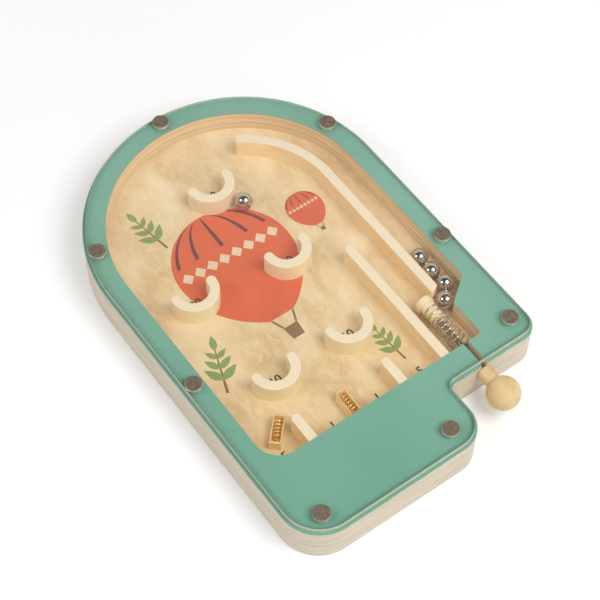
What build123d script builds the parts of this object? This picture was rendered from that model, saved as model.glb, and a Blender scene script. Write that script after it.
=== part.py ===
from build123d import *
import math
import os

# Tabletop pinball game: a flat wooden box with an arched top, a clear lid, a spring plunger
# and steel balls. All sizes are millimetres. X runs to the player's right, Y away from the
# player and Z up from the table. Places in plan are measured from the middle of the box
# across and from the player's edge along; centred() then moves the origin to the middle
# of the underside.

# The box: a base board, a frame on top of it and a clear lid
BOX_WIDTH = 151.0
BOX_LENGTH = 231.5
BASE_THICKNESS = 9.5
FRAME_THICKNESS = 11.0
LID_THICKNESS = 3.0
LID_INSET = 1.3
LID_EDGE_CHAMFER = 0.3
BASE_EDGE_ROUND = 0.6
BORDER = 11.0
FRONT_PANEL = 42.0
FIELD_CORNER_RADIUS = 12.0

# The corner of the box that is cut away to leave room for the knob
NOTCH_WIDTH = 52.8
NOTCH_DEPTH = 28.6
FRONT_LEFT_RADIUS = 20.0
FRONT_RIGHT_RADIUS = 14.0
NOTCH_OUTER_RADIUS = 9.0
NOTCH_INNER_RADIUS = 3.0

# Wooden strips glued on the playing surface
STRIP_THICKNESS = 4.8
STRIP_HEIGHT = 10.4
STRIP_EDGE_ROUND = 0.35
STRIP_CORNER_ROUND = 1.0

# Lanes, counted from the right-hand wall: balls come back down the first and go up the second
RETURN_LANE = 12.5
LAUNCH_LANE = 13.6
LAUNCH_RAIL_LENGTH = 74.3
OUTER_RAIL_START = 29.8
OUTER_RAIL_END_SLANT = 2.6
OUTER_RAIL_ARC = 59.5
DIVIDER_LENGTH = 15.4

# Score lanes from the launch rail to the left-hand wall. They share the width that is there in
# the proportions of these widths
SCORE_LANES = (23.7, 24.4, 25.4, 22.4)

# The pocket of the plunger, and the slanted shelf that leads the next ball to it
POCKET_WIDTH = 18.0
POCKET_CORNER_RADIUS = 2.0
SHELF_START = 20.0
SHELF_ANGLE = 36.5

# Half-ring cups that catch a ball. Across the box the left-hand ones are placed from the
# left-hand wall and the others from the middle. Along it the upper ones are placed from the
# middle of the arch and the lower ones from the front panel's edge.
CUP_RADIUS = 12.0
CUP_WALL = 4.8
TOP_CUP = (0.0, 28.0)
UPPER_RIGHT_CUP = (7.8, -23.8)
UPPER_LEFT_CUP = (23.7, -19.0)
LOWER_RIGHT_CUP = (6.3, 40.6)
LOWER_LEFT_CUP = (29.7, 40.0)

# Small blocks with a coil spring in a groove on top. The spring stands a little proud of its block
BLOCK_WIDTH = 5.2
BLOCK_LENGTH = 15.4
BLOCK_HEIGHT = 5.5
BLOCK_WALL = 0.5
BLOCK_END_WALL = 1.1
BLOCK_CORNER_ROUND = 0.5
BLOCK_SEAT_GAP = 0.2
BLOCK_SPRING_RISE = 0.2
CORNER_BLOCK_FROM_DIVIDER = 8.2
CORNER_BLOCK_FROM_PANEL = 15.8
CORNER_BLOCK_ANGLE = 46.5
BLOCK_WIRE = 0.7
BLOCK_SPRING_TURNS = 5

# The plunger
ROD_DIAMETER = 2.5
ROD_RUNNING_GAP = 0.1
FLANGE_DIAMETER = 9.2
FLANGE_LENGTH = 3.6
BARREL_DIAMETER = 7.4
BARREL_LENGTH = 9.2
HEAD_REACH = 31.2
HEAD_EDGE_ROUND = 0.4
KNOB_DIAMETER = 16.0
KNOB_CENTRE_FROM_WALL = 14.3
NECK_DIAMETER = 7.6
NECK_REST_GAP = 0.1
SOCKET_GAP = 0.02
ROD_SOCKET_DEPTH = 6.0
WASHER_DIAMETER = 8.6
WASHER_THICKNESS = 0.8
PLUNGER_WIRE = 0.7
PLUNGER_SPRING_CLEARANCE = 0.15
PLUNGER_SPRING_TURNS = 8

# Fasteners of the lid: plain round heads
HEAD_DIAMETER = 8.0
HEAD_THICKNESS = 1.5
HEAD_CHAMFER = 0.2
SHANK_DIAMETER = 2.5
SHANK_LENGTH = 10.5
SHANK_GAP = 0.05
SCREW_ARCH_ANGLES = (19.0, 90.0, 161.0)
SIDE_SCREW_FROM_FRONT = 93.8
NOTCH_SCREW = (9.3, 11.1)
FRONT_SCREW_INSET = 10.1
FRONT_SCREW_FROM_LEFT = 13.9
FRONT_SCREW_FROM_NOTCH = 14.6

# Steel balls: four wait behind one another, one lies in the open field
BALL_DIAMETER = 9.0
BALL_LIFT = 0.05
BALL_SPACING = 0.25
FIRST_BALL_FROM_HEAD = 0.8
FIRST_BALL_FROM_SHELF = 0.2
BALL_HEADINGS = (52.5, 95.8, 88.4)
FIELD_BALL_FROM_CUP = (9.25, -15.25)

# How finely a spring's turns are measured against each other: points along the wire, and how
# many wire diameters apart along it two points are before they count as separate turns
GAP_SAMPLES = 600
GAP_REACH = 4

# Places that follow from the sizes above
HALF_WIDTH = BOX_WIDTH / 2
ARCH_Y = BOX_LENGTH - HALF_WIDTH
NOTCH_X = HALF_WIDTH - NOTCH_WIDTH
FIELD_HALF = HALF_WIDTH - BORDER
FLOOR_Z = BASE_THICKNESS
FRAME_TOP = BASE_THICKNESS + FRAME_THICKNESS
LID_TOP = FRAME_TOP + LID_THICKNESS
OUTER_RAIL_X = FIELD_HALF - RETURN_LANE - STRIP_THICKNESS / 2
LAUNCH_RAIL_X = OUTER_RAIL_X - STRIP_THICKNESS - LAUNCH_LANE
POCKET_LEFT = LAUNCH_RAIL_X + STRIP_THICKNESS / 2
POCKET_RIGHT = POCKET_LEFT + POCKET_WIDTH
SHELF_Y = FRONT_PANEL + SHELF_START
SHELF_RISE = (FIELD_HALF - POCKET_RIGHT) * math.tan(math.radians(SHELF_ANGLE))
LANE_STRETCH = (LAUNCH_RAIL_X + FIELD_HALF) / sum(SCORE_LANES)
DIVIDER_RIGHT_X = LAUNCH_RAIL_X - SCORE_LANES[0] * LANE_STRETCH
BLOCK_X = DIVIDER_RIGHT_X - SCORE_LANES[1] * LANE_STRETCH
DIVIDER_LEFT_X = BLOCK_X - SCORE_LANES[2] * LANE_STRETCH
PLUNGER_X = (POCKET_LEFT + POCKET_RIGHT) / 2
PLUNGER_Z = FLOOR_Z + FRAME_THICKNESS / 2
FLANGE_FRONT = FRONT_PANEL + HEAD_REACH
FLANGE_BACK = FLANGE_FRONT - FLANGE_LENGTH
KNOB_Y = NOTCH_DEPTH - KNOB_CENTRE_FROM_WALL
BLOCK_SPRING_RADIUS = BLOCK_WIDTH / 2 - BLOCK_WALL - BLOCK_SEAT_GAP
BLOCK_AXIS_Z = FLOOR_Z + BLOCK_HEIGHT + BLOCK_SPRING_RISE - BLOCK_SPRING_RADIUS
BALL_Z = FLOOR_Z + BALL_DIAMETER / 2 + BALL_LIFT


def centred(shape):
    """Moves a finished piece so that the origin is the middle of the box's underside."""
    return Pos(0, -BOX_LENGTH / 2, 0) * shape


def rounded(sketch, x, y, radius):
    """Rounds the corner of a flat outline that lies nearest to (x, y)."""
    corner = sorted(sketch.vertices(), key=lambda v: math.hypot(v.X - x, v.Y - y))[0]
    return fillet(corner, radius)


def slab(sketch, bottom, height):
    """A flat outline raised into a plate that stands on the given height."""
    return Pos(0, 0, bottom) * extrude(sketch, height)


def soft_top(solid, radius):
    """Rounds every edge round the top face of an upright piece."""
    return fillet(solid.faces().sort_by(Axis.Z)[-1].edges(), radius)


def box_outline():
    """The outline of the whole box, arched at the far end and notched at the right corner."""
    arch = Pos(0, ARCH_Y) * Circle(HALF_WIDTH)
    straight = Polyline(
        (-HALF_WIDTH, ARCH_Y),
        (-HALF_WIDTH, 0),
        (NOTCH_X, 0),
        (NOTCH_X, NOTCH_DEPTH),
        (HALF_WIDTH, NOTCH_DEPTH),
        (HALF_WIDTH, ARCH_Y),
        close=True,
    )
    outline = arch + make_face(straight)
    outline = rounded(outline, -HALF_WIDTH, 0, FRONT_LEFT_RADIUS)
    outline = rounded(outline, NOTCH_X, 0, FRONT_RIGHT_RADIUS)
    outline = rounded(outline, NOTCH_X, NOTCH_DEPTH, NOTCH_INNER_RADIUS)
    return rounded(outline, HALF_WIDTH, NOTCH_DEPTH, NOTCH_OUTER_RADIUS)


def field_outline():
    """The opening of the frame: the playing field with the plunger's pocket."""
    arch = Pos(0, ARCH_Y) * Circle(FIELD_HALF)
    straight = Polyline(
        (-FIELD_HALF, ARCH_Y),
        (-FIELD_HALF, FRONT_PANEL),
        (POCKET_RIGHT, FRONT_PANEL),
        (POCKET_RIGHT, SHELF_Y),
        (FIELD_HALF, SHELF_Y + SHELF_RISE),
        (FIELD_HALF, ARCH_Y),
        close=True,
    )
    outline = arch + make_face(straight)
    outline = rounded(outline, -FIELD_HALF, FRONT_PANEL, FIELD_CORNER_RADIUS)
    outline = rounded(outline, POCKET_RIGHT, FRONT_PANEL, POCKET_CORNER_RADIUS)
    outline = rounded(outline, POCKET_RIGHT, SHELF_Y, POCKET_CORNER_RADIUS)
    return rounded(outline, FIELD_HALF, SHELF_Y + SHELF_RISE, POCKET_CORNER_RADIUS)


def screw_places():
    """The middle of each fastener, on the frame's border and front panel."""
    ring = HALF_WIDTH - BORDER / 2
    places = [
        (ring * math.cos(math.radians(a)), ARCH_Y + ring * math.sin(math.radians(a)))
        for a in SCREW_ARCH_ANGLES
    ]
    places += [(side * ring, SIDE_SCREW_FROM_FRONT) for side in (-1, 1)]
    places.append((HALF_WIDTH - NOTCH_SCREW[0], NOTCH_DEPTH + NOTCH_SCREW[1]))
    places.append((-HALF_WIDTH + FRONT_SCREW_FROM_LEFT, FRONT_SCREW_INSET))
    places.append((NOTCH_X - FRONT_SCREW_FROM_NOTCH, FRONT_SCREW_INSET))
    return places


def base_board():
    """The plywood base, whose upper face is the playing surface."""
    board = slab(box_outline(), 0, BASE_THICKNESS)
    return fillet(board.faces().sort_by(Axis.Z)[0].edges(), BASE_EDGE_ROUND)


def frame():
    """The plywood frame round the field, with the rod's open channel and the screw holes."""
    ring = slab(box_outline() - field_outline(), BASE_THICKNESS, FRAME_THICKNESS)
    channel_radius = ROD_DIAMETER / 2 + ROD_RUNNING_GAP
    wall = FRONT_PANEL - NOTCH_DEPTH
    rise = FRAME_TOP - PLUNGER_Z
    middle = (PLUNGER_X, NOTCH_DEPTH + wall / 2, PLUNGER_Z + rise / 2)
    ring -= Pos(*middle) * Box(2 * channel_radius, wall, rise)
    ring -= along_rod(NOTCH_DEPTH, wall, channel_radius)
    depth = SHANK_LENGTH - LID_THICKNESS
    for x, y in screw_places():
        ring -= Pos(x, y, FRAME_TOP - depth / 2) * Cylinder(SHANK_DIAMETER / 2 + SHANK_GAP, depth)
    return ring


def lid():
    """The clear lid, set in a little from the box's outline."""
    plate = slab(offset(box_outline(), -LID_INSET), FRAME_TOP, LID_THICKNESS)
    plate = chamfer(plate.faces().sort_by(Axis.Z)[-1].edges(), LID_EDGE_CHAMFER)
    middle = FRAME_TOP + LID_THICKNESS / 2
    for x, y in screw_places():
        plate -= Pos(x, y, middle) * Cylinder(SHANK_DIAMETER / 2 + SHANK_GAP, LID_THICKNESS)
    return plate


def lid_screws():
    """The round-headed fasteners that hold the lid down, each a separate solid."""
    head = Pos(0, 0, HEAD_THICKNESS / 2) * Cylinder(HEAD_DIAMETER / 2, HEAD_THICKNESS)
    head = chamfer(head.faces().sort_by(Axis.Z)[-1].edges(), HEAD_CHAMFER)
    screw = head + Pos(0, 0, -SHANK_LENGTH / 2) * Cylinder(SHANK_DIAMETER / 2, SHANK_LENGTH)
    solids = [Pos(x, y, LID_TOP) * screw.solids()[0] for x, y in screw_places()]
    return Compound(solids)


def straight_strip(x, length):
    """A strip that runs up the field from the front panel's edge, round at its far end."""
    half = STRIP_THICKNESS / 2
    shank = Pos(x, FRONT_PANEL + (length - half) / 2) * Rectangle(STRIP_THICKNESS, length - half)
    tip = Pos(x, FRONT_PANEL + length - half) * Circle(half)
    return soft_top(slab(shank + tip, FLOOR_Z, STRIP_HEIGHT), STRIP_EDGE_ROUND)


def outer_rail():
    """The long rail that goes straight up the right side and bends round under the arch."""
    half = STRIP_THICKNESS / 2
    inner = OUTER_RAIL_X - half
    outer = OUTER_RAIL_X + half
    start = FRONT_PANEL + OUTER_RAIL_START
    end = math.radians(OUTER_RAIL_ARC)
    bend = math.radians(OUTER_RAIL_ARC / 2)

    def on_arc(radius, angle):
        return (radius * math.cos(angle), ARCH_Y + radius * math.sin(angle))

    edge = Curve() + [
        Line((inner, start), (outer, start + OUTER_RAIL_END_SLANT)),
        Line((outer, start + OUTER_RAIL_END_SLANT), (outer, ARCH_Y)),
        ThreePointArc((outer, ARCH_Y), on_arc(outer, bend), on_arc(outer, end)),
        Line(on_arc(outer, end), on_arc(inner, end)),
        ThreePointArc(on_arc(inner, end), on_arc(inner, bend), (inner, ARCH_Y)),
        Line((inner, ARCH_Y), (inner, start)),
    ]
    outline = make_face(edge)
    for corner in ((inner, start), (outer, start + OUTER_RAIL_END_SLANT)):
        outline = rounded(outline, *corner, STRIP_CORNER_ROUND)
    for radius in (inner, outer):
        outline = rounded(outline, *on_arc(radius, end), STRIP_CORNER_ROUND)
    return soft_top(slab(outline, FLOOR_Z, STRIP_HEIGHT), STRIP_EDGE_ROUND)


def cup(x, y):
    """A half ring that opens away from the player, round at both ends."""
    middle = CUP_RADIUS - CUP_WALL / 2
    ring = Circle(CUP_RADIUS) - Circle(CUP_RADIUS - CUP_WALL)
    lower = Pos(0, -CUP_RADIUS / 2) * Rectangle(2 * CUP_RADIUS, CUP_RADIUS)
    outline = ring & lower
    for side in (-1, 1):
        outline += Pos(side * middle, 0) * Circle(CUP_WALL / 2)
    solid = soft_top(slab(outline, FLOOR_Z, STRIP_HEIGHT), STRIP_EDGE_ROUND)
    return Pos(x, y, 0) * solid


def cup_places():
    """The middle of each half ring, from the top row down."""
    return [
        (TOP_CUP[0], ARCH_Y + TOP_CUP[1]),
        (UPPER_RIGHT_CUP[0], ARCH_Y + UPPER_RIGHT_CUP[1]),
        (UPPER_LEFT_CUP[0] - FIELD_HALF, ARCH_Y + UPPER_LEFT_CUP[1]),
        (LOWER_RIGHT_CUP[0], FRONT_PANEL + LOWER_RIGHT_CUP[1]),
        (LOWER_LEFT_CUP[0] - FIELD_HALF, FRONT_PANEL + LOWER_LEFT_CUP[1]),
    ]


def spring_block(rounded_end):
    """A small block along Y from the origin, with the groove that holds its spring."""
    outline = Pos(0, BLOCK_LENGTH / 2) * Rectangle(BLOCK_WIDTH, BLOCK_LENGTH)
    corner = BLOCK_WIDTH / 2 - BLOCK_WALL if rounded_end else BLOCK_CORNER_ROUND
    for side in (-1, 1):
        outline = rounded(outline, side * BLOCK_WIDTH / 2, BLOCK_LENGTH, corner)
    block = slab(outline, FLOOR_Z, BLOCK_HEIGHT)
    width = BLOCK_WIDTH - 2 * BLOCK_WALL
    length = BLOCK_LENGTH - 2 * BLOCK_END_WALL
    depth = width / 2 + FLOOR_Z + BLOCK_HEIGHT - BLOCK_AXIS_Z
    trough = slab(Pos(0, BLOCK_LENGTH / 2) * Rectangle(width, length), 0, depth)
    return block - Pos(0, 0, FLOOR_Z + BLOCK_HEIGHT - depth) * trough


def corner_block_place():
    """Where the slanted block starts, and how far it is turned."""
    x = DIVIDER_LEFT_X - CORNER_BLOCK_FROM_DIVIDER
    y = FRONT_PANEL + CORNER_BLOCK_FROM_PANEL
    turned = Pos(x, y, 0) * Rot(0, 0, CORNER_BLOCK_ANGLE - 90)
    return turned * Pos(0, -BLOCK_LENGTH / 2, 0)


def middle_block_place():
    """Where the straight block starts, just clear of the front panel's edge."""
    return Pos(BLOCK_X, FRONT_PANEL + BLOCK_SEAT_GAP, 0)


def biarc(start, start_way, end, end_way):
    """Two arcs in space that leave and arrive along the given unit directions."""
    chord = end - start
    ways = start_way + end_way
    lean = 2 * (1 - start_way.dot(end_way))
    along = chord.dot(ways)
    reach = (math.sqrt(along * along + lean * chord.dot(chord)) - along) / lean
    knot = (start + end + (start_way - end_way) * reach) / 2
    first = TangentArc(start, knot, tangent=start_way)
    return [first, TangentArc(knot, end, tangent=first % 1)]


def coil(radius, wire, length, turns):
    """A coil spring of round wire along Y, from the origin to the given length.

    The wire starts and ends with a short straight run along Y, square to what it meets.
    """
    rise = 2 * wire
    pitch = (length - 2 * wire - 2 * rise) / turns
    slope = pitch / (2 * math.pi)
    run_in = 2 * math.asin(min(1, rise / (2 * radius)))

    def on_helix(angle):
        y = wire + rise + slope * angle
        return Vector(radius * math.cos(angle), y, -radius * math.sin(angle))

    def way(angle):
        return Vector(-radius * math.sin(angle), slope, -radius * math.cos(angle)).normalized()

    last = 2 * math.pi * turns
    foot = Vector(radius * math.cos(-run_in), wire, -radius * math.sin(-run_in))
    head = Vector(radius * math.cos(last + run_in), length - wire, -radius * math.sin(last + run_in))
    straight = Vector(0, wire, 0)
    up = Vector(0, 1, 0)
    edges = [Line(foot - straight, foot)]
    edges += biarc(foot, up, on_helix(0), way(0))
    for step in range(2 * turns):
        here = math.pi * step
        there = here + math.pi
        edges += biarc(on_helix(here), way(here), on_helix(there), way(there))
    edges += biarc(on_helix(last), way(last), head, up)
    edges.append(Line(head, head + straight))
    path = Wire([edge.edge() for edge in edges])
    section = Plane(origin=foot - straight, z_dir=up) * Circle(wire / 2)
    tube = sweep(section, path=path)
    return tube, least_gap(path, wire)


def least_gap(path, wire):
    """The smallest distance between the surfaces of two neighbouring turns of a wire."""
    spacing = path.length / GAP_SAMPLES
    points = [path @ (i / GAP_SAMPLES) for i in range(GAP_SAMPLES + 1)]
    apart = math.ceil(GAP_REACH * wire / spacing)
    gaps = [
        (points[i] - points[j]).length
        for i in range(GAP_SAMPLES + 1)
        for j in range(i + apart, GAP_SAMPLES + 1)
    ]
    return min(gaps) - wire


def along_rod(start, length, radius):
    """A round bar on the plunger's axis, from a place along the box."""
    bar = extrude(Circle(radius), length)
    return Pos(PLUNGER_X, start, PLUNGER_Z) * Rot(-90, 0, 0) * bar


def plunger_head():
    """The wooden head: a wide flange that strikes the ball, and a barrel inside the spring."""
    flange = along_rod(FLANGE_BACK, FLANGE_LENGTH, FLANGE_DIAMETER / 2)
    flange = fillet(flange.faces().sort_by(Axis.Y)[-1].edges(), HEAD_EDGE_ROUND)
    barrel = along_rod(FLANGE_BACK - BARREL_LENGTH, BARREL_LENGTH, BARREL_DIAMETER / 2)
    barrel = fillet(barrel.faces().sort_by(Axis.Y)[0].edges(), HEAD_EDGE_ROUND)
    socket = along_rod(FLANGE_BACK - BARREL_LENGTH, ROD_SOCKET_DEPTH, ROD_DIAMETER / 2 + SOCKET_GAP)
    return flange + barrel - socket


def plunger_rod():
    """The steel rod that joins the head to the knob through the frame's channel."""
    start = NOTCH_DEPTH - NECK_REST_GAP - ROD_SOCKET_DEPTH
    end = FLANGE_BACK - BARREL_LENGTH + ROD_SOCKET_DEPTH
    return along_rod(start, end - start, ROD_DIAMETER / 2)


def plunger_knob():
    """The wooden knob: a ball with a neck that stops against the box."""
    ball = Pos(PLUNGER_X, KNOB_Y, PLUNGER_Z) * Sphere(KNOB_DIAMETER / 2)
    neck_end = NOTCH_DEPTH - NECK_REST_GAP
    neck = along_rod(KNOB_Y, neck_end - KNOB_Y, NECK_DIAMETER / 2)
    neck = fillet(neck.faces().sort_by(Axis.Y)[-1].edges(), HEAD_EDGE_ROUND)
    socket = along_rod(neck_end - ROD_SOCKET_DEPTH, ROD_SOCKET_DEPTH, ROD_DIAMETER / 2 + SOCKET_GAP)
    return ball + neck - socket


def spring_washer():
    """The flat washer between the spring and the front wall of the pocket."""
    disc = along_rod(FRONT_PANEL, WASHER_THICKNESS, WASHER_DIAMETER / 2)
    hole = along_rod(FRONT_PANEL, WASHER_THICKNESS, ROD_DIAMETER / 2 + ROD_RUNNING_GAP)
    return disc - hole


def plunger_spring():
    """The open coil spring that pushes the head up the lane, wound round its barrel."""
    radius = BARREL_DIAMETER / 2 + PLUNGER_SPRING_CLEARANCE + PLUNGER_WIRE / 2
    start = FRONT_PANEL + WASHER_THICKNESS
    tube, gap = coil(radius, PLUNGER_WIRE, FLANGE_BACK - start, PLUNGER_SPRING_TURNS)
    return Pos(PLUNGER_X, start, PLUNGER_Z) * tube, gap


def block_spring():
    """The small coil spring that lies in a block's groove."""
    radius = BLOCK_SPRING_RADIUS - BLOCK_WIRE / 2
    length = BLOCK_LENGTH - 2 * BLOCK_END_WALL
    tube, gap = coil(radius, BLOCK_WIRE, length, BLOCK_SPRING_TURNS)
    return Pos(0, BLOCK_END_WALL, BLOCK_AXIS_Z) * tube, gap


def ball_places():
    """Four waiting balls, the next one to be shot first, then the ball in the open field."""
    lean = math.radians(SHELF_ANGLE)
    radius = BALL_DIAMETER / 2
    x = PLUNGER_X + FLANGE_DIAMETER / 2 + FIRST_BALL_FROM_HEAD + radius
    y = SHELF_Y + (x - POCKET_RIGHT) * math.tan(lean)
    y += (radius + FIRST_BALL_FROM_SHELF) / math.cos(lean)
    places = [(x, y)]
    for heading in BALL_HEADINGS:
        step = BALL_DIAMETER + BALL_SPACING
        x += step * math.cos(math.radians(heading))
        y += step * math.sin(math.radians(heading))
        places.append((x, y))
    top_x, top_y = cup_places()[0]
    places.append((top_x + FIELD_BALL_FROM_CUP[0], top_y + FIELD_BALL_FROM_CUP[1]))
    return places


def build():
    """Every piece of the game by its name."""
    pieces = {
        "base_board": base_board(),
        "frame": frame(),
        "clear_lid": lid(),
        "lid_screws": lid_screws(),
        "outer_rail": outer_rail(),
        "launch_rail": straight_strip(LAUNCH_RAIL_X, LAUNCH_RAIL_LENGTH),
        "lane_divider_left": straight_strip(DIVIDER_LEFT_X, DIVIDER_LENGTH),
        "lane_divider_right": straight_strip(DIVIDER_RIGHT_X, DIVIDER_LENGTH),
        "plunger_head": plunger_head(),
        "plunger_rod": plunger_rod(),
        "plunger_knob": plunger_knob(),
        "spring_washer": spring_washer(),
    }
    for number, place in enumerate(cup_places(), start=1):
        pieces[f"catch_cup_{number}"] = cup(*place)
    for number, (x, y) in enumerate(ball_places(), start=1):
        pieces[f"steel_ball_{number}"] = Pos(x, y, BALL_Z) * Sphere(BALL_DIAMETER / 2)
    pieces["plunger_spring"], plunger_gap = plunger_spring()
    small_spring, small_gap = block_spring()
    pieces["middle_block"] = middle_block_place() * spring_block(rounded_end=True)
    pieces["middle_block_spring"] = middle_block_place() * small_spring
    pieces["corner_block"] = corner_block_place() * spring_block(rounded_end=False)
    pieces["corner_block_spring"] = corner_block_place() * small_spring
    print(f"least gap between turns: plunger spring {plunger_gap:.2f}, small springs {small_gap:.2f}")
    return pieces


os.makedirs("parts", exist_ok=True)
for name, piece in build().items():
    export_step(centred(piece), f"parts/{name}.step")
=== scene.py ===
import math

import bmesh
import bpy
from mathutils import Matrix, Vector


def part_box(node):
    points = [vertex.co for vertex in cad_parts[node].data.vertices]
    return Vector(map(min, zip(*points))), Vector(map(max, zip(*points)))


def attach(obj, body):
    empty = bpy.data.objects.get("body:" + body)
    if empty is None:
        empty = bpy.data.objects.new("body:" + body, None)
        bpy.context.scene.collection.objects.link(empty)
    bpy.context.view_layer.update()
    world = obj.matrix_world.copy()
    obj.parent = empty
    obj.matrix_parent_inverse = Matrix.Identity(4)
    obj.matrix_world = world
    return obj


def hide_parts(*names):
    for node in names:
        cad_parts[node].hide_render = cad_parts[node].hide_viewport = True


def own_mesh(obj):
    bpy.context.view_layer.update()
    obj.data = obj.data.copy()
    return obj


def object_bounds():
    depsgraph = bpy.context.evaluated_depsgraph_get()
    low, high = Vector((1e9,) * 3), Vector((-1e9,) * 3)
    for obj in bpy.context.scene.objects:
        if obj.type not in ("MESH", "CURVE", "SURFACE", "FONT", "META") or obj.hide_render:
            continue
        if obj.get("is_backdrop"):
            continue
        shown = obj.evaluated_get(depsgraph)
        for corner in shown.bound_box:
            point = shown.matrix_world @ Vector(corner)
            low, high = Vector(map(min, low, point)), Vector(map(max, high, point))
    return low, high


# The look of the tabletop pinball game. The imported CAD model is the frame: every piece below
# takes its place from it. Lengths are metres, and MM turns a length in millimetres into them.
# X runs to the player's right, Y away from the player and Z up from the table.
MM = 0.001

# The camera, matched to the photograph: angles in degrees, and a focal length in pixels of a
# picture that is 600 pixels wide
PICTURE_WIDTH = 600
FOCAL_PIXELS = 1758.2
SENSOR_WIDTH = 36.0
CAMERA_HEIGHT_ANGLE = 56.42
CAMERA_TURN = -37.04
CAMERA_ROLL = 1.28
CAMERA_DISTANCE = 828.8 * MM
CAMERA_TARGET = (3.94 * MM, -0.42 * MM, 0.0)

# The studio: what the world gives, and how bright a mirror shows the walls and the dark room
# behind the camera, which begins and is full at these angles from the camera's own direction.
# Each softbox stands by its shares to the picture's right, to its top and towards the camera,
# which the highlights on the balls gave, then its distance, its side and its power in watts.
# The one in front is a wide weak fill for the upright faces
WORLD_LEVEL = 0.51
MIRRORED_WALLS = 0.70
MIRRORED_ROOM = 0.04
ROOM_FROM = 70.5
ROOM_FULL_AT = 60.5
SOFTBOXES = {
    "softbox_right": ((0.452, 0.226, 0.863), 0.90, 0.46, 4.1),
    "softbox_left": ((-0.602, 0.181, 0.778), 1.10, 0.38, 2.1),
    "softbox_front": ((0.422, -0.447, 0.789), 0.90, 1.30, 1.4),
}

# The floor: what the camera sees it lifted by close to the box and far from it, where the lamps
# don't reach, and the distances in metres between which that changes
FLOOR_SIDE = 8.0
FLOOR_LIFT_NEAR = 0.13
FLOOR_LIFT_FAR = 0.60
FLOOR_NEAR = 0.19
FLOOR_FAR = 1.50

# Colours as they are read on a screen, from 0 to 255
GREEN_PAINT = (122, 172, 150)
GREEN_PAINT_DEEP = (112, 163, 141)
GREEN_SCUFF = (150, 186, 168)
# The paint where it runs down the outer side: a darker green as painted shade
GREEN_LIP_PAINTED_SHADE = (108, 148, 124)
PLY_EDGE = (215, 203, 183)
PLY_EDGE_DARK = (198, 184, 162)
PLY_EDGE_PALE = (227, 217, 200)
WALL_PALE = (240, 213, 170)
WALL_TAN = (226, 194, 146)
WALL_GLUE = (160, 122, 84)
BIRCH = (227, 199, 151)
BIRCH_DEEP = (211, 178, 127)
BIRCH_PALE = (239, 217, 177)
SPECK = (150, 108, 70)
STRIP_TOP = (237, 219, 186)
# The sides of the strips and cups: lighter and warmer than their tops, as painted light on upright
# faces
STRIP_SIDE_PAINTED_LIGHT = (250, 223, 172)
STRIP_SIDE_DEEP_PAINTED_LIGHT = (244, 211, 156)
CUP_SIDE_PAINTED_LIGHT = (248, 232, 190)
CUP_SIDE_DEEP_PAINTED_LIGHT = (243, 223, 176)
KNOB_WOOD = (222, 195, 147)
KNOB_WOOD_DEEP = (211, 177, 124)
HEAD_WOOD = (241, 221, 178)
HEAD_WOOD_DEEP = (232, 202, 148)
BLOCK_TOP = (226, 192, 132)
# The floor of a block's groove: warm orange as painted shade in the recess
GROOVE_PAINTED_SHADE = (238, 184, 92)
CORAL_INK = (228, 113, 76)
MAROON_INK = (116, 64, 70)
GREEN_INK = (142, 176, 112)
BROWN_INK = (150, 122, 100)
CREAM_INK = (240, 226, 208)
NUMBER_INK = (78, 62, 58)
SCREW_FACE = (149, 133, 115)
SCREW_FACE_DARK = (115, 99, 83)
# A painted highlight on the fasteners' rims
SCREW_RIM_PAINTED_HIGHLIGHT = (226, 214, 196)
STEEL = (222, 212, 204)
STEEL_DULL = (192, 182, 173)
WIRE = (250, 244, 234)
WIRE_DARK = (176, 154, 130)
ROD = (190, 168, 142)
ROD_DARK = (122, 100, 80)
BRASS = (255, 240, 184)
BRASS_DARK = (250, 206, 104)
LID_SAWN = (200, 207, 189)
LID_SAWN_DARK = (182, 190, 172)
# The lid's slanted broken edge: dark as painted shade
LID_BROKEN_EDGE_PAINTED_SHADE = (112, 128, 108)
LID_CLEAR = (252, 253, 252)
INK_GROUND = (246, 246, 246)
PLAIN_WHITE = (255, 255, 255)
FLOOR_WHITE = (242, 242, 242)
FLOOR_WHITE_DEEP = (238, 238, 238)


def linear(colour):
    """A colour as read on a screen, from 0 to 255, as the light values that shaders take."""
    values = [c / 255 for c in colour]
    bent = [v / 12.92 if v <= 0.04045 else ((v + 0.055) / 1.055) ** 2.4 for v in values]
    return (*bent, 1.0)


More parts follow.
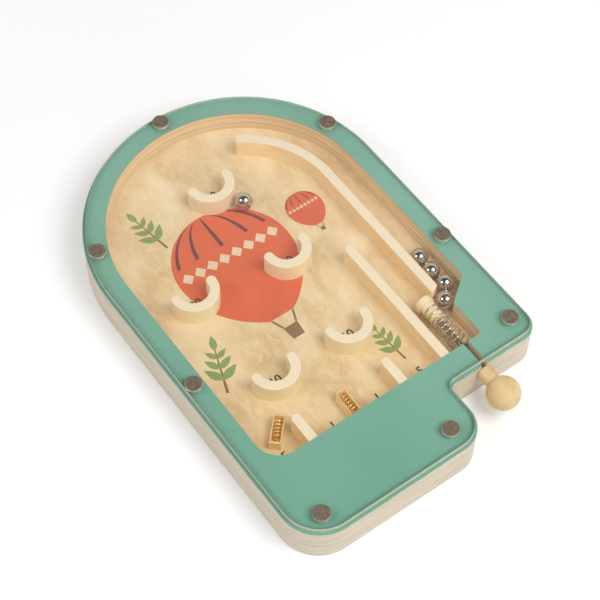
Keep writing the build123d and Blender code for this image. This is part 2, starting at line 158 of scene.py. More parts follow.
class Finish:
    """A node material while it is being put together."""

    def __init__(self, name):
        self.material = bpy.data.materials.new(name)
        self.material.use_nodes = True
        self.nodes = self.material.node_tree.nodes
        self.shader = self.nodes["Principled BSDF"]
        self.output = self.nodes["Material Output"]
        self.coordinates = self.nodes.new("ShaderNodeTexCoord")
        self.place = self.coordinates.outputs["Object"]
        self.facing = self.coordinates.outputs["Normal"]

    def feed(self, socket, source):
        """Links a socket to another one, or sets it to a plain number or vector."""
        if isinstance(source, bpy.types.NodeSocket):
            self.material.node_tree.links.new(source, socket)
        else:
            socket.default_value = source

    def figure(self, size, detail=2.0, roughness=0.5, distortion=0.0):
        """A soft random pattern from 0 to 1 whose blots have this size in mm along X, Y and Z."""
        mapping = self.nodes.new("ShaderNodeMapping")
        mapping.inputs["Scale"].default_value = [1 / (s * MM) for s in size]
        self.feed(mapping.inputs["Vector"], self.place)
        noise = self.nodes.new("ShaderNodeTexNoise")
        self.feed(noise.inputs["Vector"], mapping.outputs["Vector"])
        noise.inputs["Scale"].default_value = 1.0
        noise.inputs["Detail"].default_value = detail
        noise.inputs["Roughness"].default_value = roughness
        noise.inputs["Distortion"].default_value = distortion
        return noise.outputs["Fac"]

    def axis(self, vector, letter):
        """One coordinate of a vector."""
        split = self.nodes.new("ShaderNodeSeparateXYZ")
        self.feed(split.inputs[0], vector)
        return split.outputs[letter]

    def reckon(self, operation, first, second=0.0):
        """One step of arithmetic on two numbers or sockets."""
        step = self.nodes.new("ShaderNodeMath")
        step.operation = operation
        self.feed(step.inputs[0], first)
        self.feed(step.inputs[1], second)
        return step.outputs[0]

    def span(self, source, low, high, to_low=0.0, to_high=1.0):
        """A number moved from one range into another, and held inside it."""
        step = self.nodes.new("ShaderNodeMapRange")
        self.feed(step.inputs["Value"], source)
        step.inputs["From Min"].default_value = low
        step.inputs["From Max"].default_value = high
        step.inputs["To Min"].default_value = to_low
        step.inputs["To Max"].default_value = to_high
        return step.outputs["Result"]

    def bands(self, source, stops):
        """A row of colours along a number from 0 to 1, as pairs of a place and a colour."""
        ramp = self.nodes.new("ShaderNodeValToRGB")
        elements = ramp.color_ramp.elements
        while len(elements) < len(stops):
            elements.new(1.0)
        for element, (place, colour) in zip(elements, stops):
            element.position = place
            element.color = linear(colour)
        self.feed(ramp.inputs["Fac"], source)
        return ramp.outputs["Color"]

    def blend(self, share, first, second, way="MIX"):
        """Two colours mixed by a share from 0 to 1."""
        mix = self.nodes.new("ShaderNodeMix")
        mix.data_type = "RGBA"
        mix.blend_type = way
        self.feed(mix.inputs[0], share)
        self.feed(mix.inputs[6], first)
        self.feed(mix.inputs[7], second)
        return mix.outputs[2]

    def relief(self, height, depth):
        """Bumps of this depth in mm where the pattern is high."""
        bump = self.nodes.new("ShaderNodeBump")
        bump.inputs["Distance"].default_value = depth * MM
        self.feed(bump.inputs["Height"], height)
        self.feed(self.shader.inputs["Normal"], bump.outputs["Normal"])

    def shine(self, roughness, specular=0.5):
        """How rough the surface is, and how much it mirrors."""
        self.feed(self.shader.inputs["Roughness"], roughness)
        self.shader.inputs["Specular IOR Level"].default_value = specular

    def colour(self, source):
        """The surface's colour."""
        self.feed(self.shader.inputs["Base Color"], source)


# How much of a surface's direction has to point up for it to begin to count as facing up, and
# to count fully
UP_FROM = 0.55
UP_FULLY = 0.75


def faces_up(finish):
    """1 on a surface that faces up, 0 on one that faces sideways."""
    return finish.span(finish.axis(finish.facing, "Z"), UP_FROM, UP_FULLY)


def faces_out(finish):
    """1 on a side that faces away from the middle of the box, 0 on one that faces it."""
    flat = finish.nodes.new("ShaderNodeVectorMath")
    flat.operation = "DOT_PRODUCT"
    finish.feed(flat.inputs[0], finish.place)
    finish.feed(flat.inputs[1], finish.facing)
    return finish.span(flat.outputs["Value"], -MM, MM)


# How far apart the plies are in mm, how far the paint runs down the frame's outer side, and how
# far below a block's top its groove begins
PLY_PITCH = 2.7
PAINT_LIP = (0.2 * MM, 0.8 * MM)
GROOVE_BELOW_TOP = 1.0 * MM


def birch_figure(finish):
    """The veneer of the playing surface: soft blotches and fine marbling under short streaks."""
    blotch = finish.figure((22, 30, 30), detail=3.0, distortion=0.6)
    marble = finish.figure((2.4, 5.0, 4.0), detail=3.0, roughness=0.55, distortion=0.6)
    streak = finish.figure((0.5, 4.0, 4.0), detail=3.0, roughness=0.6, distortion=0.3)
    speck = finish.figure((0.5, 1.0, 0.5), detail=2.0)
    base = finish.bands(blotch, [(0.3, BIRCH_DEEP), (0.5, BIRCH), (0.72, BIRCH_PALE)])
    wood = finish.blend(finish.span(marble, 0.45, 0.66, 0.0, 0.45), base, linear(BIRCH_PALE))
    wood = finish.blend(finish.span(streak, 0.56, 0.76, 0.0, 0.5), wood, linear(BIRCH_DEEP))
    return finish.blend(finish.span(speck, 0.68, 0.75, 0.0, 0.5), wood, linear(SPECK))


def ply_edge(finish, height):
    """The sawn outer side of the plywood: pale plies with faint broken streaks along them."""
    turn = finish.reckon("MULTIPLY", height, 2 * math.pi / (PLY_PITCH * MM))
    ply = finish.reckon("SINE", turn)
    wander = finish.figure((26, 26, 0.8), detail=4.0, roughness=0.6)
    mixed = finish.reckon("ADD", finish.span(ply, -1, 1, 0.0, 0.06), wander)
    base = finish.bands(mixed, [(0.34, PLY_EDGE_DARK), (0.5, PLY_EDGE), (0.74, PLY_EDGE_PALE)])
    pores = finish.figure((5.0, 5.0, 0.22), detail=3.0, roughness=0.7)
    return finish.blend(finish.span(pores, 0.56, 0.74, 0.0, 0.6), base, linear(PLY_EDGE_DARK))


def ply_wall(finish, height, low, high):
    """The inner side of the frame: warm plies with a thin glue line part of the way up."""
    share = finish.span(height, low, high)
    wander = finish.figure((30, 30, 3.0), detail=2.0)
    moved = finish.reckon("ADD", share, finish.span(wander, 0.0, 1.0, -0.03, 0.03))
    stops = [
        (0.00, WALL_TAN),
        (0.34, WALL_PALE),
        (0.37, WALL_GLUE),
        (0.40, WALL_PALE),
        (0.66, WALL_PALE),
        (0.69, WALL_TAN),
        (0.95, WALL_PALE),
        (0.99, WALL_GLUE),
    ]
    base = finish.bands(moved, stops)
    grain = finish.figure((12, 12, 0.45), detail=4.0, roughness=0.65)
    worn = finish.blend(finish.span(grain, 0.42, 0.66, 0.0, 0.6), base, linear(WALL_TAN))
    return finish.blend(finish.span(grain, 0.6, 0.74, 0.0, 0.45), worn, linear(WALL_GLUE))


def painted_plywood(low, high):
    """The frame: green paint on top, raw plies on the outer sides and warm ones inside, and the
    paint's lip down the outer side, painted darker as shade.
    """
    finish = Finish("painted_plywood_finish")
    cloud = finish.figure((40, 55, 40), detail=2.0)
    paint = finish.bands(cloud, [(0.3, GREEN_PAINT_DEEP), (0.7, GREEN_PAINT)])
    scuff = finish.figure((2.2, 3.4, 2.0), detail=5.0, roughness=0.7)
    paint = finish.blend(finish.span(scuff, 0.68, 0.8, 0.0, 0.6), paint, linear(GREEN_SCUFF))
    height = finish.axis(finish.place, "Z")
    outside = faces_out(finish)
    sides = finish.blend(outside, ply_wall(finish, height, low, high), ply_edge(finish, height))
    lip = finish.span(finish.figure((6, 6, 6), detail=3.0), 0.3, 0.7, *PAINT_LIP)
    wrapped = finish.reckon("GREATER_THAN", finish.reckon("ADD", height, lip), high)
    # The paint that runs down the outer side is real; its darker green is painted shade.
    sides = finish.blend(finish.reckon("MULTIPLY", wrapped, outside), sides, linear(GREEN_LIP_PAINTED_SHADE))
    finish.colour(finish.blend(faces_up(finish), sides, paint))
    grit = finish.figure((0.5, 0.5, 0.5), detail=3.0)
    finish.shine(finish.span(grit, 0.3, 0.7, 0.55, 0.68), specular=0.2)
    finish.relief(grit, 0.008)
    return finish.material


def plywood():
    """The base board: birch veneer above and below, raw plies on its sides."""
    finish = Finish("plywood_finish")
    height = finish.axis(finish.place, "Z")
    flat = finish.reckon("ABSOLUTE", finish.axis(finish.facing, "Z"))
    flat = finish.span(flat, UP_FROM, UP_FULLY)
    finish.colour(finish.blend(flat, ply_edge(finish, height), birch_figure(finish)))
    grain = finish.figure((0.4, 3.0, 0.4), detail=3.0, roughness=0.6)
    finish.shine(finish.span(grain, 0.3, 0.7, 0.48, 0.66), specular=0.3)
    finish.relief(grain, 0.03)
    return finish.material


def strip_wood(finish, top, pale, deep):
    """Beech with one colour on top and lighter, warmer ones on its sawn sides as painted light on
    upright faces, and the grain it shows.
    """
    grain = finish.figure((0.6, 6.0, 0.9), detail=4.0, roughness=0.6, distortion=0.3)
    blotch = finish.figure((9, 14, 6), detail=2.0)
    # The sides take lighter, warmer colours than the top: painted light on upright faces
    side = finish.bands(blotch, [(0.3, deep), (0.65, pale)])
    side = finish.blend(finish.span(grain, 0.4, 0.8, 0.0, 0.4), side, linear(deep))
    upper = finish.blend(finish.span(grain, 0.45, 0.85, 0.0, 0.3), linear(top), linear(pale))
    return finish.blend(faces_up(finish), side, upper), grain


def pale_wood(name, pale, deep):
    """The strips and cups, with one colour on top and the painted-light colours of their sides."""
    finish = Finish(name)
    wood, grain = strip_wood(finish, STRIP_TOP, pale, deep)
    finish.colour(wood)
    finish.shine(finish.span(grain, 0.3, 0.7, 0.45, 0.62), specular=0.3)
    finish.relief(grain, 0.025)
    return finish.material


def grooved_wood(top):
    """The small blocks: a golden top over the strips' painted-light side colours, and a groove
    floor painted in warm shade.
    """
    finish = Finish("grooved_wood_finish")
    wood, grain = strip_wood(finish, BLOCK_TOP, STRIP_SIDE_PAINTED_LIGHT, STRIP_SIDE_DEEP_PAINTED_LIGHT)
    height = finish.axis(finish.place, "Z")
    # The groove's floor is painted warm orange as the shade deep in it
    below = finish.reckon("LESS_THAN", height, top - GROOVE_BELOW_TOP)
    groove_shade = finish.reckon("MULTIPLY", below, faces_up(finish))
    finish.colour(finish.blend(groove_shade, wood, linear(GROOVE_PAINTED_SHADE)))
    finish.shine(finish.span(grain, 0.3, 0.7, 0.4, 0.55), specular=0.3)
    finish.relief(grain, 0.025)
    return finish.material


def turned_wood(name, pale, deep):
    """Turned wood with fine rings round the plunger's axis."""
    finish = Finish(name)
    rings = finish.figure((14, 0.5, 14), detail=3.0, roughness=0.6)
    blotch = finish.figure((6, 10, 6), detail=3.0)
    wood = finish.bands(blotch, [(0.3, deep), (0.6, pale)])
    finish.colour(finish.blend(finish.span(rings, 0.45, 0.8, 0.0, 0.35), wood, linear(deep)))
    finish.shine(finish.span(rings, 0.3, 0.7, 0.36, 0.5), specular=0.4)
    finish.relief(rings, 0.02)
    return finish.material


def metal(name, pale, dark, size, polish, depth):
    """A metal whose colour and shine wander over blots of the given size in mm.

    The polish is the roughness of the brightest and of the dullest blots, and the depth that
    of the blots' relief in mm.
    """
    finish = Finish(name)
    finish.shader.inputs["Metallic"].default_value = 1.0
    blot = finish.figure((size, size, size), detail=4.0, roughness=0.65)
    finish.colour(finish.bands(blot, [(0.35, dark), (0.62, pale)]))
    brightest, dullest = polish
    finish.shine(finish.span(blot, 0.3, 0.7, dullest, brightest))
    finish.relief(blot, depth)
    return finish.material


# How much of the tarnished fasteners still shows as bare metal
BARE_METAL = 0.55


def screw_metal():
    """The lid's fasteners: dull brownish steel on their faces, with a painted highlight on their
    rims.
    """
    finish = Finish("screw_finish")
    finish.shader.inputs["Metallic"].default_value = BARE_METAL
    stain = finish.figure((1.8, 1.8, 1.8), detail=3.0, roughness=0.55)
    face = finish.bands(stain, [(0.3, SCREW_FACE_DARK), (0.7, SCREW_FACE)])
    # The rims take a pale colour: a painted highlight
    finish.colour(finish.blend(faces_up(finish), linear(SCREW_RIM_PAINTED_HIGHLIGHT), face))
    finish.shine(finish.span(stain, 0.3, 0.7, 0.5, 0.36))
    finish.relief(stain, 0.03)
    return finish.material


def let_light_through(finish, ray):
    """Makes a clear piece as good as absent for one kind of ray, so that light reaches inside."""
    path = finish.nodes.new("ShaderNodeLightPath")
    open_shader = finish.nodes.new("ShaderNodeBsdfTransparent")
    mix = finish.nodes.new("ShaderNodeMixShader")
    surface = finish.output.inputs["Surface"]
    before = surface.links[0].from_socket
    finish.feed(mix.inputs[0], path.outputs[ray])
    finish.feed(mix.inputs[1], before)
    finish.feed(mix.inputs[2], open_shader.outputs[0])
    finish.feed(surface, mix.outputs[0])


# How strongly acrylic bends light
ACRYLIC_INDEX = 1.49


def clear_acrylic():
    """The lid: clear sheet with the faintest haze of fine scratches."""
    finish = Finish("clear_acrylic_finish")
    finish.shader.inputs["Transmission Weight"].default_value = 1.0
    finish.shader.inputs["IOR"].default_value = ACRYLIC_INDEX
    haze = finish.figure((14, 0.6, 5), detail=4.0, roughness=0.7)
    finish.shine(finish.span(haze, 0.5, 0.9, 0.0, 0.06))
    finish.colour(linear(LID_CLEAR))
    let_light_through(finish, "Is Diffuse Ray")
    let_light_through(finish, "Is Shadow Ray")
    return finish.material


def acrylic_edge(name, pale, dark):
    """A frosted edge of the lid, with the fine upright marks of the saw."""
    finish = Finish(name)
    saw = finish.figure((0.7, 0.7, 3.0), detail=3.0)
    finish.colour(finish.bands(saw, [(0.3, dark), (0.6, pale)]))
    finish.shine(finish.span(saw, 0.3, 0.7, 0.35, 0.5))
    finish.relief(saw, 0.02)
    return finish.material


# How strongly the wood's own colour tints the ink that is printed on it
WOOD_IN_INK = 0.65


def ink(name, colour):
    """Printing ink on the veneer: the wood's figure shows through it."""
    finish = Finish(name)
    wood = birch_figure(finish)
    bright = finish.blend(1.0, wood, linear(INK_GROUND), way="DIVIDE")
    tint = finish.blend(WOOD_IN_INK, linear(PLAIN_WHITE), bright)
    tinted = finish.blend(1.0, linear(colour), tint, way="MULTIPLY")
    worn = finish.figure((0.8, 1.6, 1.0), detail=5.0, roughness=0.75)
    finish.colour(finish.blend(finish.span(worn, 0.62, 0.8, 0.0, 0.35), tinted, linear(BIRCH)))
    finish.shine(finish.span(worn, 0.3, 0.7, 0.5, 0.62), specular=0.3)
    finish.relief(worn, 0.01)
    return finish.material


def dress(nodes, names, material):
    """Gives CAD nodes a finish through their material slots."""
    for name in names:
        for slot in nodes[name].material_slots:
            slot.material = material


def dress_cad_nodes(frame):
    """A finish for every CAD node that stays in view."""
    nodes = frame["nodes"]
    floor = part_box("base_board")[1].z
    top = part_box("frame")[1].z
    balls = [n for n in nodes if n.startswith("steel_ball")]
    cups = [n for n in nodes if n.startswith("catch_cup")]
    strips = ["outer_rail", "launch_rail", "lane_divider_left", "lane_divider_right"]
    dress(nodes, ["frame"], painted_plywood(floor, top))
    dress(nodes, ["base_board"], plywood())
    dress(nodes, cups, pale_wood("cup_finish", CUP_SIDE_PAINTED_LIGHT, CUP_SIDE_DEEP_PAINTED_LIGHT))
    dress(nodes, strips, pale_wood("strip_finish", STRIP_SIDE_PAINTED_LIGHT, STRIP_SIDE_DEEP_PAINTED_LIGHT))
    dress(nodes, ["middle_block", "corner_block"], grooved_wood(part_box("middle_block")[1].z))
    dress(nodes, ["plunger_knob"], turned_wood("knob_finish", KNOB_WOOD, KNOB_WOOD_DEEP))
    dress(nodes, ["plunger_head"], turned_wood("head_finish", HEAD_WOOD, HEAD_WOOD_DEEP))
    dress(nodes, ["lid_screws"], screw_metal())
    dress(nodes, balls, metal("ball_finish", STEEL, STEEL_DULL, 2.5, (0.03, 0.08), 0.002))
    rod = metal("rod_finish", ROD, ROD_DARK, 1.2, (0.22, 0.38), 0.01)
    dress(nodes, ["plunger_rod", "spring_washer"], rod)
    brass = metal("brass_finish", BRASS, BRASS_DARK, 1.4, (0.22, 0.36), 0.01)
    dress(nodes, ["middle_block_spring", "corner_block_spring"], brass)


def copied(node, name, materials):
    """A new piece with a CAD node's mesh and materials of its own."""
    piece = bpy.data.objects.new(name, node.data.copy())
    bpy.context.scene.collection.objects.link(piece)
    piece.data.materials.clear()
    for material in materials:
        piece.data.materials.append(material)
    return piece


def plunger_coil(frame):
    """The plunger's spring, as a copy of its CAD node with a mesh and a finish of its own."""
    wire = metal("spring_finish", WIRE, WIRE_DARK, 1.5, (0.16, 0.3), 0.01)
    coil = copied(frame["nodes"]["plunger_spring"], "plunger_coil", [wire])
    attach(coil, "box")
    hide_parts("plunger_spring")
    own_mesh(coil)


# How far the lid's pane stands off the frame, so that the two faces aren't in one plane, and how
# much of a face's direction has to point up or down for it to count as flat, or else as slanted
LID_STAND_OFF = 0.03 * MM
FLAT_FROM = 0.9
SLANTED_FROM = 0.3


def lid_face(polygon):
    """Which of the lid's finishes a face takes: 0 clear, 1 sawn side, 2 broken edge in painted
    shade.
    """
    upright = abs(polygon.normal.z)
    if upright > FLAT_FROM:
        return 0
    return 2 if upright > SLANTED_FROM else 1


def lid_pane(frame):
    """The lid with clear faces, frosted sides and a broken edge painted dark as shade, just off
    the frame's top.
    """
    clear = clear_acrylic()
    sawn = acrylic_edge("sawn_edge_finish", LID_SAWN, LID_SAWN_DARK)
    # The broken edge is painted dark as shade
    broken_shade = acrylic_edge("broken_edge_painted_shade_finish", LID_BROKEN_EDGE_PAINTED_SHADE, LID_BROKEN_EDGE_PAINTED_SHADE)
    pane = copied(frame["nodes"]["clear_lid"], "clear_lid_pane", [clear, sawn, broken_shade])
    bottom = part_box("clear_lid")[0].z
    for vertex in pane.data.vertices:
        vertex.co.z = max(vertex.co.z, bottom + LID_STAND_OFF)
    for polygon in pane.data.polygons:
        polygon.material_index = lid_face(polygon)
    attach(pane, "box")
    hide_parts("clear_lid")


# The frame's width round the playing field in mm, as the CAD model has it
BORDER = 11.0

# The print on the playing surface, in layers of ink that lie on each other
INK_THICKNESS = 0.012 * MM
INK_GAP = 0.003 * MM
CURVE_STEPS = 40
LEAF_STEPS = 8


def ink_height(layer):
    """How high a layer of ink lies on the playing surface."""
    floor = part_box("base_board")[1].z
    return floor + INK_GAP + layer * (INK_THICKNESS + INK_GAP)


def printed(name, shapes, material, layer=0):
    """Flat shapes printed on the playing surface, each an outline of points in mm."""
    bottom = ink_height(layer)
    mesh = bmesh.new()
    for outline in shapes:
        corners = [mesh.verts.new((x * MM, y * MM, bottom)) for x, y in outline]
        face = mesh.faces.new(corners)
        raised = bmesh.ops.extrude_face_region(mesh, geom=[face])["geom"]
        tops = [g for g in raised if isinstance(g, bmesh.types.BMVert)]
        bmesh.ops.translate(mesh, verts=tops, vec=(0, 0, INK_THICKNESS))
    bmesh.ops.recalc_face_normals(mesh, faces=mesh.faces)
    data = bpy.data.meshes.new(name)
    mesh.to_mesh(data)
    mesh.free()
    data.materials.append(material)
    piece = bpy.data.objects.new(name, data)
    bpy.context.scene.collection.objects.link(piece)
    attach(piece, "box")


def turned(points, angle, place):
    """Points turned about the origin by an angle in degrees and moved to a place."""
    c = math.cos(math.radians(angle))
    s = math.sin(math.radians(angle))
    return [(place[0] + c * x - s * y, place[1] + s * x + c * y) for x, y in points]


# A balloon's sizes as shares of its radius. Its envelope is round above and drawn in to its
# mouth below. A turn of 0 is its top, 0.5 its widest part and 1 its mouth
WIDEST = 0.5
ENVELOPE_ROUND = 0.93
ENVELOPE_TAPER = 0.84
TAPER_BEND = 1.5
MOUTH_HALF_WIDTH = 0.2

# The seams: the angles round the envelope at which they lie, their half width as a share of its
# half width, and the turns between which they run
SEAM_ANGLES = (-60, -30, 0, 30, 60)
SEAM_HALF_WIDTH = 0.035
SEAM_START = 0.1
SEAM_END = 0.42

# The zigzag: how many diamonds it has, how much of the envelope's width they fill, and how much
# of its step each diamond's half width takes
DIAMONDS = 8
ZIGZAG_WIDTH = 0.92
DIAMOND_FILL = 1 / 2.2
DIAMOND_HALF_HEIGHT = 0.11

# The basket: how far it hangs below the mouth, its size, and its foot's width as a share of its
# top's. Its ropes lie at this share of the two half widths that they join, and keep clear of
# both by a gap in mm
BASKET_DROP = 0.22
BASKET_HEIGHT = 0.24
BASKET_HALF_WIDTH = 0.13
BASKET_FOOT = 0.8
ROPE_HALF_WIDTH = 0.02
ROPE_SHARE = 0.9
ROPE_GAP = 0.2


def envelope_edge(radius, turn):
    """Half the envelope's width at a turn, and its height over the envelope's middle."""
    angle = math.pi * turn * ENVELOPE_ROUND
    drop = ENVELOPE_TAPER * radius * max(0.0, turn - WIDEST) ** TAPER_BEND
    wide = radius * math.sin(angle)
    if turn > WIDEST:
        wide = max(wide, MOUTH_HALF_WIDTH * radius)
    return wide, radius * math.cos(angle) - drop


def gore(place, radius, left, right, start=0.0, end=1.0):
    """A strip of a balloon between two of its seams, given as shares of its half width."""
    turns = [start + (end - start) * i / CURVE_STEPS for i in range(CURVE_STEPS + 1)]
    edges = [envelope_edge(radius, t) for t in turns]
    down = [(place[0] + right * w, place[1] + y) for w, y in edges]
    up = [(place[0] + left * w, place[1] + y) for w, y in reversed(edges)]
    if start == 0.0:
        up.pop()
    return down + up


def seams(place, radius):
    """The seams on the upper half of a balloon's envelope."""
    middles = [math.sin(math.radians(angle)) for angle in SEAM_ANGLES]
    half = SEAM_HALF_WIDTH
    return [gore(place, radius, m - half, m + half, SEAM_START, SEAM_END) for m in middles]


def zigzag(place, radius):
    """A row of diamonds across a balloon's widest part."""
    wide, height = envelope_edge(radius, WIDEST)
    start = place[0] - wide * ZIGZAG_WIDTH
    step = 2 * wide * ZIGZAG_WIDTH / DIAMONDS
    half = step * DIAMOND_FILL
    tall = radius * DIAMOND_HALF_HEIGHT
    y = place[1] + height
    middles = [start + step * (i + 0.5) for i in range(DIAMONDS)]
    return [[(x + half, y), (x, y + tall), (x - half, y), (x, y - tall)] for x in middles]


def basket(place, radius):
    """A balloon's basket, and the two ropes that it hangs from."""
    mouth_half, mouth_height = envelope_edge(radius, 1.0)
    mouth = place[1] + mouth_height
    top = mouth - radius * BASKET_DROP
    bottom = top - radius * BASKET_HEIGHT
    half = radius * BASKET_HALF_WIDTH
    foot = half * BASKET_FOOT
    shapes = [[
        (place[0] + half, top),
        (place[0] - half, top),
        (place[0] - foot, bottom),
        (place[0] + foot, bottom),
    ]]
    rope = radius * ROPE_HALF_WIDTH
    high = mouth - ROPE_GAP
    low = top + ROPE_GAP
    for side in (-1, 1):
        high_x = place[0] + side * mouth_half * ROPE_SHARE
        low_x = place[0] + side * half * ROPE_SHARE
        upper = [(high_x + rope, high), (high_x - rope, high)]
        shapes.append(upper + [(low_x - rope, low), (low_x + rope, low)])
    return shapes


def balloon(name, place, radius, inks):
    """A hot-air balloon seen from the side: coral, with dark seams and a pale zigzag."""
    printed(f"{name}_envelope", [gore(place, radius, -1, 1)], inks["coral"])
    printed(f"{name}_stripes", seams(place, radius), inks["maroon"], layer=1)
    printed(f"{name}_band", zigzag(place, radius), inks["cream"], layer=1)
    printed(f"{name}_basket", basket(place, radius), inks["brown"])


# A sprig's sizes as shares of its stem's length: the stem's half width at its foot and its end,
# where the pairs of leaves sit, how long the lowest leaves are and by how much each pair is
# shorter than the one below it. A leaf's width is a share of its own length, and a belly below 1
# brings its widest part towards its foot. The last three are the leaf at the stem's end
STEM_FOOT = 0.03
STEM_END = 0.012
LEAF_PLACES = (0.3, 0.55, 0.78)
LEAF_LENGTH = 0.42
LEAF_SHORTER = 0.07
LEAF_WIDTH = 0.42
LEAF_ANGLE = 48
LEAF_BELLY = 0.8
TIP_PLACE = 0.97
TIP_LENGTH = 0.34
TIP_WIDTH = 0.15


def leaf(length, width):
    """A pointed leaf from the origin along X."""
    steps = [i / LEAF_STEPS for i in range(LEAF_STEPS + 1)]
    upper = [(length * t, width / 2 * math.sin(math.pi * t ** LEAF_BELLY)) for t in steps]
    lower = [(x, -y) for x, y in reversed(upper[1:-1])]
    return upper + lower


def sprig(name, place, angle, size, inks):
    """A leafy sprig: a slightly tapered stem with pairs of leaves."""
    foot = STEM_FOOT * size
    end = STEM_END * size
    stem = [(0, -foot), (size, -end), (size, end), (0, foot)]
    printed(f"{name}_stem", [turned(stem, angle, place)], inks["brown"])
    leaves = []
    for row, share in enumerate(LEAF_PLACES):
        long = size * (LEAF_LENGTH - LEAF_SHORTER * row)
        for side in (-1, 1):
            blade = turned(leaf(long, long * LEAF_WIDTH), side * LEAF_ANGLE, (size * share, 0))
            leaves.append(turned(blade, angle, place))
    tip = turned(leaf(size * TIP_LENGTH, size * TIP_WIDTH), 0, (size * TIP_PLACE, 0))
    leaves.append(turned(tip, angle, place))
    printed(f"{name}_leaves", leaves, inks["green"], layer=1)


# The printed scores: their text, their size, and where they lie. Lengths are mm
CUP_NUMBERS = ("50", "20", "30", "10", "10")
LANE_NUMBERS = ("5", "1", "1", "5")
NUMBER_SIZE = 6.0
NUMBER_BOLDNESS = 0.1
NUMBER_LAYER = 2
CUP_TIP_RADIUS = 2.4
CUP_NUMBER_BELOW_MIDDLE = 1.2
LANE_NUMBER_FROM_PANEL = 5.0
LANE_NUMBERS_TO_THE_RIGHT = (-0.4, 2.0, 2.0, 2.0)


def number(name, text, x, y, material):
    """A plain printed number whose middle is at a place in mm."""
    curve = bpy.data.curves.new(name, "FONT")
    curve.body = text
    curve.size = NUMBER_SIZE * MM
    curve.align_x = "CENTER"
    curve.align_y = "CENTER"
    curve.offset = NUMBER_BOLDNESS * MM
    curve.extrude = INK_THICKNESS / 2
    curve.materials.append(material)
    piece = bpy.data.objects.new(name, curve)
    bpy.context.scene.collection.objects.link(piece)
    piece.location = (x * MM, y * MM, ink_height(NUMBER_LAYER))
    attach(piece, "box")


def print_numbers(material):
    """Scores in the cups' hollows and at the front edge of the score lanes."""
    for place, text in enumerate(CUP_NUMBERS, start=1):
        low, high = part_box(f"catch_cup_{place}")
        x = (low.x + high.x) / 2 / MM
        y = high.y / MM - CUP_TIP_RADIUS - CUP_NUMBER_BELOW_MIDDLE
        number(f"cup_number_{place}", text, x, y, material)
    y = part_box("launch_rail")[0].y / MM + LANE_NUMBER_FROM_PANEL
    walls = [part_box("base_board")[0].x / MM + BORDER]
    for name in ("lane_divider_left", "middle_block", "lane_divider_right", "launch_rail"):
        low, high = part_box(name)
        walls.append((low.x + high.x) / 2 / MM)
    for place, text in enumerate(LANE_NUMBERS):
        x = (walls[place] + walls[place + 1]) / 2 + LANE_NUMBERS_TO_THE_RIGHT[place]
        number(f"lane_number_{place + 1}", text, x, y, material)


# Where the motifs lie, in mm from the middle of the box across and from the middle of the arch
# along, then a balloon's radius, or a sprig's angle and the length of its stem
BALLOONS = {
    "large_balloon": (-12, -10, 30),
    "small_balloon": (33, -4, 9.5),
}
SPRIGS = {
    "sprig_top": (-34, 14, 100, 22),
    "sprig_left": (-56, -68, 70, 24),
    "sprig_right": (20, -100, 95, 20),
}


def print_playing_surface():
    """All that is printed on the playing surface."""
    inks = {
        "coral": ink("coral_ink", CORAL_INK),
        "maroon": ink("maroon_ink", MAROON_INK),
        "green": ink("green_ink", GREEN_INK),
        "brown": ink("brown_ink", BROWN_INK),
        "cream": ink("cream_ink", CREAM_INK),
    }
    low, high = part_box("base_board")
    half = (high.x - low.x) / 2 / MM
    arch_y = high.y / MM - half
    for name, (x, y, radius) in BALLOONS.items():
        balloon(name, (x, arch_y + y), radius, inks)
    for name, (x, y, angle, size) in SPRIGS.items():
        sprig(name, (x, arch_y + y), angle, size, inks)
    print_numbers(ink("number_ink", NUMBER_INK))


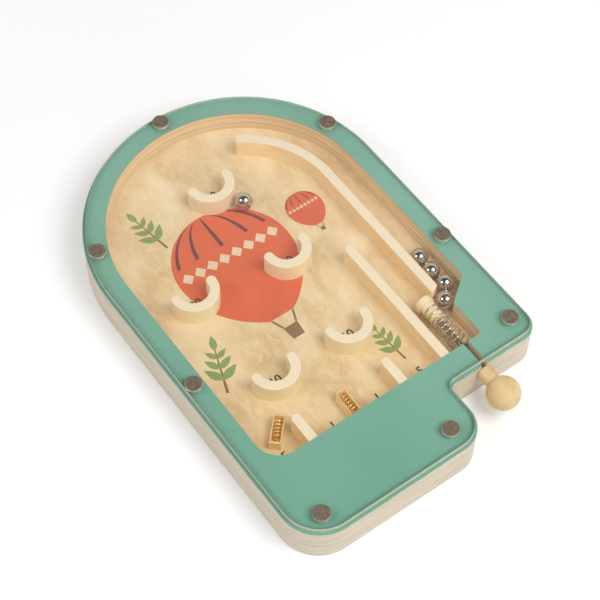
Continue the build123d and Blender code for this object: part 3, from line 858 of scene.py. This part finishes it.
def studio_floor():
    """A plain pale floor that the camera sees as white, but that keeps the shadows."""
    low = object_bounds()[0].z
    half = FLOOR_SIDE / 2
    corners = [(-half, -half, low), (half, -half, low), (half, half, low), (-half, half, low)]
    data = bpy.data.meshes.new("studio_floor")
    data.from_pydata(corners, [], [(0, 1, 2, 3)])
    finish = Finish("studio_floor_finish")
    haze = finish.figure((300, 300, 300), detail=1.0)
    finish.colour(finish.bands(haze, [(0.0, FLOOR_WHITE), (1.0, FLOOR_WHITE_DEEP)]))
    finish.shine(0.9, specular=0.1)
    path = finish.nodes.new("ShaderNodeLightPath")
    seen = finish.reckon("MAXIMUM", path.outputs["Is Camera Ray"], path.outputs["Is Glossy Ray"])
    seen = finish.reckon("MAXIMUM", seen, path.outputs["Is Transmission Ray"])
    finish.shader.inputs["Emission Color"].default_value = (1, 1, 1, 1)
    away = finish.nodes.new("ShaderNodeVectorMath")
    away.operation = "LENGTH"
    finish.feed(away.inputs[0], finish.place)
    distance = away.outputs["Value"]
    lift = finish.span(distance, FLOOR_NEAR, FLOOR_FAR, FLOOR_LIFT_NEAR, FLOOR_LIFT_FAR)
    finish.feed(finish.shader.inputs["Emission Strength"], finish.reckon("MULTIPLY", seen, lift))
    data.materials.append(finish.material)
    floor = bpy.data.objects.new("studio_floor", data)
    bpy.context.scene.collection.objects.link(floor)
    floor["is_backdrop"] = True


def studio_world():
    """Even soft light: white to the camera, with a dark room behind the camera in mirrors."""
    world = bpy.data.worlds.new("studio_world")
    world.use_nodes = True
    bpy.context.scene.world = world
    nodes = world.node_tree.nodes
    link = world.node_tree.links.new
    background = nodes["Background"]
    background.inputs["Color"].default_value = (1, 1, 1, 1)
    path = nodes.new("ShaderNodeLightPath")
    sharp = nodes.new("ShaderNodeMath")
    sharp.operation = "MAXIMUM"
    link(path.outputs["Is Glossy Ray"], sharp.inputs[0])
    link(path.outputs["Is Transmission Ray"], sharp.inputs[1])
    way = nodes.new("ShaderNodeTexCoord")
    behind = nodes.new("ShaderNodeVectorMath")
    behind.operation = "DOT_PRODUCT"
    link(way.outputs["Generated"], behind.inputs[0])
    behind.inputs[1].default_value = camera_axes()[2]
    mirrored = nodes.new("ShaderNodeMapRange")
    mirrored.inputs["From Min"].default_value = math.cos(math.radians(ROOM_FROM))
    mirrored.inputs["From Max"].default_value = math.cos(math.radians(ROOM_FULL_AT))
    mirrored.inputs["To Min"].default_value = MIRRORED_WALLS
    mirrored.inputs["To Max"].default_value = MIRRORED_ROOM
    link(behind.outputs["Value"], mirrored.inputs["Value"])
    lit = nodes.new("ShaderNodeMix")
    lit.data_type = "FLOAT"
    link(sharp.outputs[0], lit.inputs[0])
    lit.inputs[2].default_value = WORLD_LEVEL
    link(mirrored.outputs["Result"], lit.inputs[3])
    level = nodes.new("ShaderNodeMix")
    level.data_type = "FLOAT"
    link(path.outputs["Is Camera Ray"], level.inputs[0])
    link(lit.outputs[0], level.inputs[2])
    level.inputs[3].default_value = 1.0
    link(level.outputs[0], background.inputs["Strength"])


def camera_axes():
    """The directions to the picture's right, to its top and towards the camera."""
    height = math.radians(CAMERA_HEIGHT_ANGLE)
    turn = math.radians(CAMERA_TURN)
    roll = math.radians(CAMERA_ROLL)
    ground = math.cos(height)
    back = Vector((math.sin(turn) * ground, -math.cos(turn) * ground, math.sin(height)))
    level = Vector((0, 0, 1)).cross(back).normalized()
    upright = back.cross(level)
    right = level * math.cos(roll) + upright * math.sin(roll)
    up = upright * math.cos(roll) - level * math.sin(roll)
    return right, up, back


def softboxes():
    """Large square lamps that face the middle of the box."""
    right, up, back = camera_axes()
    middle = Vector(CAMERA_TARGET)
    for name, (shares, distance, side, power) in SOFTBOXES.items():
        way = (right * shares[0] + up * shares[1] + back * shares[2]).normalized()
        lamp = bpy.data.lights.new(name, "AREA")
        lamp.shape = "SQUARE"
        lamp.size = side
        lamp.energy = power
        holder = bpy.data.objects.new(name, lamp)
        bpy.context.scene.collection.objects.link(holder)
        holder.location = middle + way * distance
        holder.rotation_euler = way.to_track_quat("Z", "Y").to_euler()


def camera():
    """The camera at the photograph's place."""
    right, up, back = camera_axes()
    data = bpy.data.cameras.new("camera")
    data.sensor_width = SENSOR_WIDTH
    data.lens = FOCAL_PIXELS * SENSOR_WIDTH / PICTURE_WIDTH
    holder = bpy.data.objects.new("camera", data)
    bpy.context.scene.collection.objects.link(holder)
    axes = Matrix((right, up, back)).transposed().to_4x4()
    holder.matrix_world = Matrix.Translation(Vector(CAMERA_TARGET) + back * CAMERA_DISTANCE) @ axes
    bpy.context.scene.camera = holder


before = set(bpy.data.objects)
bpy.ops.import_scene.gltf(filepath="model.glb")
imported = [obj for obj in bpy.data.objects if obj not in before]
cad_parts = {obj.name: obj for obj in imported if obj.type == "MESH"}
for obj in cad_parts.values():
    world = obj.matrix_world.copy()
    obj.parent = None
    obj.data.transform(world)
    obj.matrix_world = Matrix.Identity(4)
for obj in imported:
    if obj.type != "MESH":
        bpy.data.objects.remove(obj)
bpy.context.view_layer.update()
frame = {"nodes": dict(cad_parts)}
bpy.context.scene.view_settings.view_transform = "Standard"
camera()
studio_world()
softboxes()
studio_floor()
dress_cad_nodes(frame)
plunger_coil(frame)
lid_pane(frame)
print_playing_surface()
